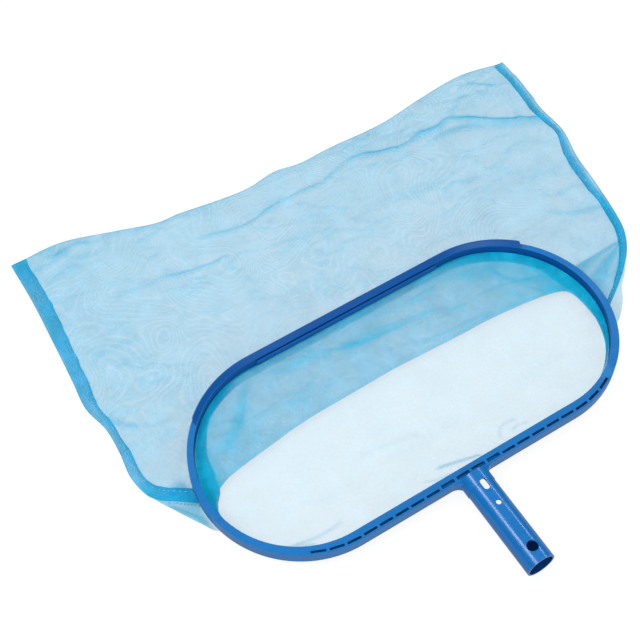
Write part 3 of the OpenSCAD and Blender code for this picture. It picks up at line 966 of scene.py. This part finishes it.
def stitches(name, tape, offsets, pitch=5.2, length=3.0):
    """Rows of short raised stitches; offsets are shares of the tape's width."""
    turn = np.arange(STITCH_SIDES) / STITCH_SIDES * 2 * math.pi
    one_stitch = stitch_faces()
    blocks, faces = [], []
    for offset in offsets:
        line = tape.path + tape.inward * (tape.width * offset)[:, None]
        for j, middle in enumerate(np.arange(pitch, tape.along[-1] - pitch, pitch)):
            jitter = float(lattice(np.array(j), np.array(int(offset * 10)), 7))
            middle = middle + 0.5 * jitter
            stations = np.linspace(middle - length / 2, middle + length / 2, len(STITCH_RADII))
            x, y, z, side_x, side_y = (
                np.interp(stations, tape.along, values)[:, None]
                for values in (*line.T, tape.height, *tape.inward.T))
            out = np.cos(turn) * STITCH_RADII
            up = np.sin(turn) * STITCH_RADII * 0.8 + STITCH_LIFTS
            block = np.stack([x + side_x * out, y + side_y * out, z + up], -1).reshape(-1, 3)
            base = len(block) * len(blocks)
            blocks.append(block)
            faces += [tuple(base + k for k in face) for face in one_stitch]
    mesh = bpy.data.meshes.new(name)
    mesh.from_pydata(world(np.vstack(blocks)).tolist(), [], faces)
    layer = mesh.uv_layers.new(name="weave")
    for loop in mesh.loops:
        place = mesh.vertices[loop.vertex_index].co
        layer.data[loop.index].uv = (place.x + place.y * 0.3, place.z * 2)
    return place_mesh(name, mesh, THREAD)


def merge_stitches(first, second):
    """One object from two. It is named while the first exists, so its name gains a number."""
    edit = bmesh.new()
    for part in (first, second):
        edit.from_mesh(part.data)
    bmesh.ops.remove_doubles(edit, verts=edit.verts, dist=1e-6)
    mesh = bpy.data.meshes.new(first.name)
    edit.to_mesh(mesh)
    edit.free()
    merged = place_mesh(first.name, mesh, THREAD)
    for part in (first, second):
        bpy.data.objects.remove(part)
    return merged


def seam(side, points, widths, across, layers):
    """Front tape, front stitches, rear tape and rear stitches of one side. Widths is (y, width)
    and layers lists (extra layers, y where they begin, y where they are full)."""
    line = curve(points, 1400)
    x, y = line[:, 0], line[:, 1]
    heading = np.gradient(line, axis=0)
    heading /= np.linalg.norm(heading, axis=1)[:, None]
    inward = np.stack([-heading[:, 1], heading[:, 0]], -1) * (1 if side == "right" else -1)
    along = lengths_along(line)

    def wobble(size, seed):
        return noise(along, along * 0, size, seed)

    width = np.interp(y, *widths) * (1 + 0.04 * wobble(9, 3) + 0.04 * wobble(31, 4))
    z = SEAM_Z + 0.5 * wobble(40, 21) + 0.25 * wobble(13, 22)
    z = np.where(hoop_gap(x, y) < 14, np.minimum(z, -17.0), z)      # kept below the hoop
    cut = int(np.abs(y - CUT_Y).argmin())
    z = z + (SEAM_Z - z) * np.exp(-((along - along[cut]) / 12) ** 2)
    extra = sum(count * smooth(begin, full, y) for count, begin, full in layers)
    tape = Tape(line, inward, width, along, z)

    made = []
    for tag, rows in (("front", np.arange(cut % 3, cut + 1, 3)),
                      ("rear", np.arange(cut, len(line), 3))):
        part = part_of(tape, rows)
        made.append(tape_body(f"seam_{side}_{tag}", part, across, extra[rows],
                              cap_start=tag == "front"))
        top = part._replace(along=part.along - part.along[0], height=part.height + 1.55)
        sewn = stitches(f"stitches_{side}_{tag}", top, (0.70,))
        if (side, tag) == ("left", "front"):
            # two more rows just outside the tape's near end
            count = int(np.argmax(part.path[:, 1] > 133))
            chain = part_of(top, slice(count))._replace(height=np.full(count, UNDER_Z + 2.2))
            sewn = merge_stitches(
                sewn, stitches("chain", chain, (-0.10, -0.17), pitch=3.4, length=2.6))
        made.append(sewn)
    return made


# at its near end each seam leaves the bag's edge and runs in to the hoop
seam_lf, st_lf, seam_lr, st_lr = seam(
    "left",
    points=[(-218.5, 109.5), (-224, 114), (-240, 127), (-253, 137), (-261, 149),
            (-264.5, 172)] + LEFT_POINTS[5:],
    widths=([90, 128, 142, 160, 180, 198, 214, 228, 245, 270, 300, 343, 449],
            [14.5, 14.5, 13, 10.5, 11, 10, 7.5, 8.5, 10.5, 13, 14, 15.5, 16.5]),
    across=([0, 0.12, 0.3, 0.75, 0.9, 1], [3.2, 2.8, 2.3, 2.4, 3.1, 3.2]),
    layers=[(1.6, 165, 142), (0.8, 400, 449)])
seam_rf, st_rf, seam_rr, st_rr = seam(
    "right",
    points=[(221, 76), (240, 88), (258, 100), (276, 114), (293, 132),
            (306, 158)] + RIGHT_POINTS[7:],
    widths=([70, 95, 118, 135, 165, 190, 215, 250, 272, 286, 298, 320, 350, 403],
            [4, 5, 7, 9, 9.5, 9.5, 12, 12.5, 11, 8.5, 8.5, 10, 11, 11]),
    across=([0, 0.1, 0.35, 0.6, 0.85, 1], [1.8, 1.1, 1.2, 2.4, 3.6, 3.0]),
    layers=[(2.4, 212, 176)])

# ------------------------------------------------------------------ CAD parts that stay
# part: (material, bevel width in metres)
CAD_LOOKS = {
    "frame_hoop": (HOOP_PLASTIC, 0.0006),
    "pole_socket": (SOCKET_PLASTIC, 0.0005),
    "leading_lip": (SHADED_LIP_PLASTIC, 0.0005),
    "clamp_bar": (SHADED_LIP_PLASTIC, 0.0007),
    "retaining_spline": (SPLINE_PLASTIC, 0.0002),
}
for name, (material, bevel_width) in CAD_LOOKS.items():
    part = frame["nodes"][name]
    part.data.materials.clear()
    part.data.materials.append(material)
    weld = part.modifiers.new("weld", "WELD")
    weld.merge_threshold = 1e-6
    bevel = part.modifiers.new("edge", "BEVEL")
    bevel.width = bevel_width
    bevel.segments = 2
    bevel.limit_method = "ANGLE"
    bevel.angle_limit = math.radians(40)
    shading = part.modifiers.new("shading", "WEIGHTED_NORMAL")
    shading.weight = 50
    shading.keep_sharp = False
    for face in part.data.polygons:
        face.use_smooth = True


def bend(part):
    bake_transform(part)


for part in (low_front, upper, seam_lf, seam_rf, st_lf, st_rf):
    bend(part)
for part in (low_rear, upper_r, seam_lr, seam_rr, st_lr, st_rr):
    bend(part)
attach(slack, "frame")
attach(mouth, "frame")

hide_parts("mouth_hem")
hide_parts("throat_slack_mesh")
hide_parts("throat_lower_mesh", "mid_lower_mesh")
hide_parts("mid_upper_mesh")
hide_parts("tail_mesh")
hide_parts("throat_seam_left", "mid_seam_left")
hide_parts("throat_seam_right", "mid_seam_right")
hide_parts("tail_seam_left")
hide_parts("tail_seam_right")

# ------------------------------------------------------------------ floor
WHITE = (1, 1, 1, 1)


def floor_material():
    """Matt grey paint that glows more to the camera and to reflections."""
    material = bpy.data.materials.new("studio_floor_paint")
    graph = Graph(material)
    rays = graph.add("LightPath").outputs
    glow = graph.linear(rays["Is Camera Ray"], base=0.16, gain=0.70)
    glow = graph.linear(rays["Is Glossy Ray"], base=glow, gain=0.25)
    paint = graph.add("BsdfPrincipled", Base_Color=(0.16, 0.16, 0.16, 1), Roughness=0.9,
                      Specular_IOR_Level=0.0, Emission_Color=WHITE, Emission_Strength=glow)
    graph.add("OutputMaterial", Surface=paint.outputs[0])
    return material


bpy.ops.mesh.primitive_plane_add(size=14, location=(0, 0.3, FLOOR - 0.0004))
floor = bpy.context.object
floor.name = "studio_floor"
floor.data.materials.append(floor_material())

# the floor sinks when the bag hangs below the hoop: (body, metres at a quarter turn)
for body, sink_depth in (("bag_mid", 0.26), ("bag_tail", 0.13)):
    hub = next((item for item in bpy.data.objects
                if item.type == "EMPTY" and item.name.split(".")[0].endswith(body)), None)
    if hub is None:     # a body may have no empty of its own
        continue
    sink = floor.constraints.new("TRANSFORM")
    sink.target = hub
    sink.map_from, sink.map_to = "ROTATION", "LOCATION"
    sink.from_min_x_rot, sink.from_max_x_rot = math.radians(-90), 0.0
    sink.map_to_x_from = sink.map_to_y_from = sink.map_to_z_from = "X"
    sink.to_min_z, sink.to_max_z = -sink_depth, 0.0
    sink.mix_mode = "ADD"


# ------------------------------------------------------------------ light and camera
def studio_world():
    """White sky, brighter overhead; reflections see a dim blue instead."""
    studio = bpy.data.worlds.new("studio")
    bpy.context.scene.world = studio
    graph = Graph(studio)
    glossy_ray = graph.add("LightPath").outputs["Is Glossy Ray"]
    direction = graph.add("TexCoord").outputs["Generated"]
    up = graph.maths("MAXIMUM", graph.add("SeparateXYZ", direction).outputs[2], 0.0)
    soft = graph.add("Background", Color=WHITE, Strength=0.64)      # used only if unlinked
    graph.put(soft.inputs["Strength"], graph.linear(up, base=0.22, gain=0.95))
    gloss = graph.add("Background", Color=(0.30, 0.36, 0.46, 1), Strength=0.14)
    mixed = graph.add("MixShader", glossy_ray, soft.outputs[0], gloss.outputs[0])
    graph.add("OutputWorld", Surface=mixed.outputs[0])


def softbox(name, location, target, size, size_y, power):
    """Area light facing a point, its second side kept along Y."""
    light = bpy.data.lights.new(name, "AREA")
    light.shape, light.size, light.size_y, light.energy = "RECTANGLE", size, size_y, power
    lamp = bpy.data.objects.new(name, light)
    bpy.context.scene.collection.objects.link(lamp)
    z = (Vector(location) - Vector(target)).normalized()
    y = (Vector((0, 1, 0)) - z * z.y).normalized()
    x = y.cross(z)
    rotation = Matrix((x, y, z)).transposed().to_4x4()
    lamp.matrix_world = Matrix.Translation(location) @ rotation


studio_world()
softbox("key", location=(-1.12, 0.62, 1.56), target=(0.0, 0.06, 0.0),
        size=0.42, size_y=1.1, power=15)
softbox("rim", location=(1.42, 0.59, 1.15), target=(0.0, 0.06, 0.0),
        size=0.08, size_y=1.0, power=4.5)
softbox("front", location=(-0.35, -2.1, 0.75), target=(0.0, 0.1, 0.0),
        size=1.6, size_y=0.9, power=22)

lens = bpy.data.cameras.new("camera")
lens.sensor_width, lens.lens = 36.0, 81.65
lens.clip_start, lens.clip_end = 0.05, 50
camera = bpy.data.objects.new("camera", lens)
bpy.context.scene.collection.objects.link(camera)
camera.location = Vector((-0.4409, -0.3272, 1.2023))
view = Vector((-0.0289, 0.3205, 0.0065)) - camera.location
camera.rotation_euler = view.to_track_quat("-Z", "Y").to_euler()

scene = bpy.context.scene
scene.camera = camera
scene.view_settings.view_transform = "Standard"
scene.cycles.transparent_max_bounces = 40
scene.cycles.max_bounces = 10
